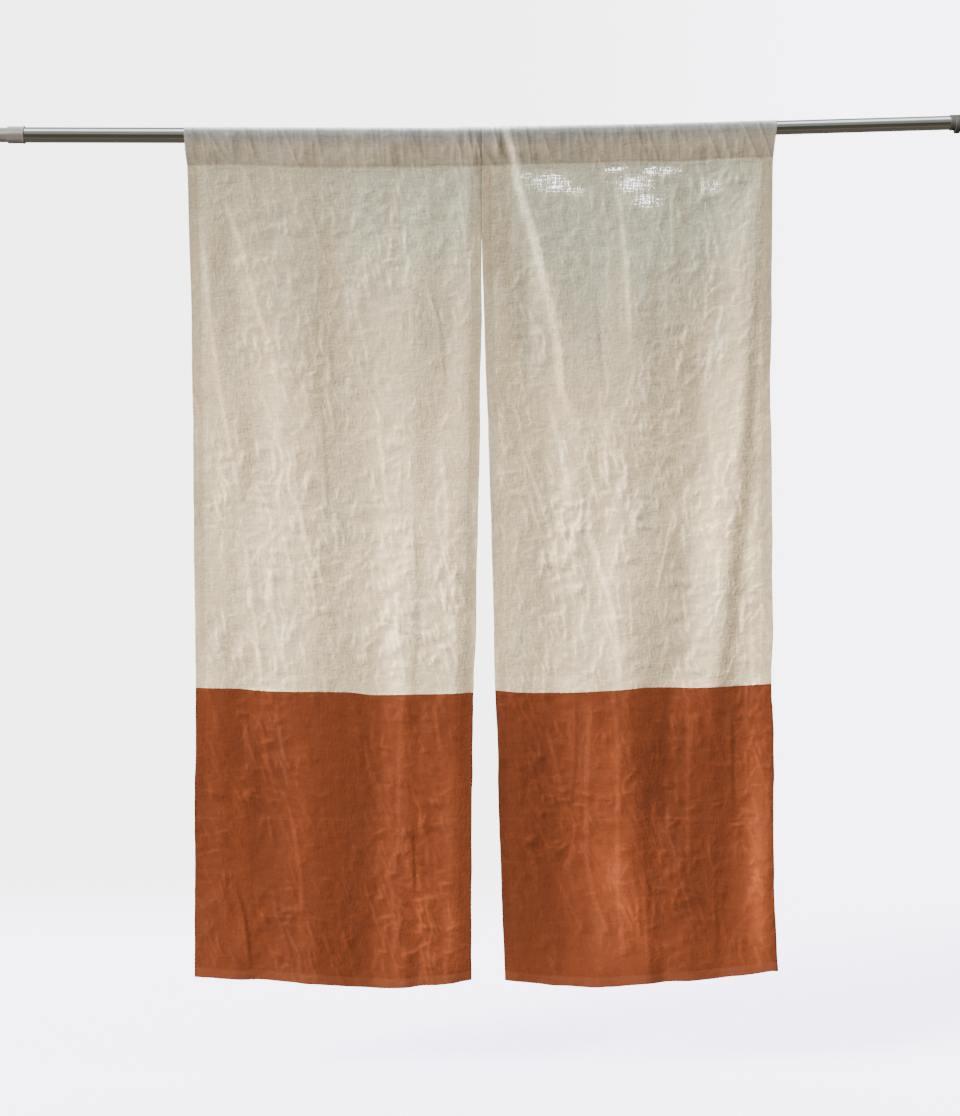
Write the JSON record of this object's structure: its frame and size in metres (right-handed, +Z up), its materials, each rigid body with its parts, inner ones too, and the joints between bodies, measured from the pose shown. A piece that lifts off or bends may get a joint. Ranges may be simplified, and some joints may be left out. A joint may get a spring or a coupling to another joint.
{
  "type": "noren curtain on a tension rod",
  "caption": "Split doorway curtain of natural linen with a rust lower band, hanging by its rod pocket from a telescopic tension rod.",
  "frame": {"origin": "on the rod's axis, half way along its span", "axes": "+X along the rod towards its narrower end, +Z up, and the cloth's front faces -Y"},
  "size_m": [1.43, 0.03, 1.2657],
  "materials": {
    "natural_linen": "semi-sheer washed linen, plain weave with slubs",
    "rust_linen": "washed linen dyed rust, plain weave with slubs",
    "rod_steel": "polished steel tube",
    "collar_plastic": "satin grey plastic",
    "cap_rubber": "matte dark grey"
  },
  "bodies": {
    "root": {"rod_outer_tube": "rod_steel", "rod_inner_tube": "rod_steel", "left_collar": "collar_plastic", "right_cap": "cap_rubber", "left_foot_pad": "cap_rubber", "right_foot_pad": "cap_rubber", "left_upper_panel": "natural_linen", "left_lower_panel": "rust_linen", "right_upper_panel": "natural_linen", "right_lower_panel": "rust_linen"}
  },
  "joints": []
}
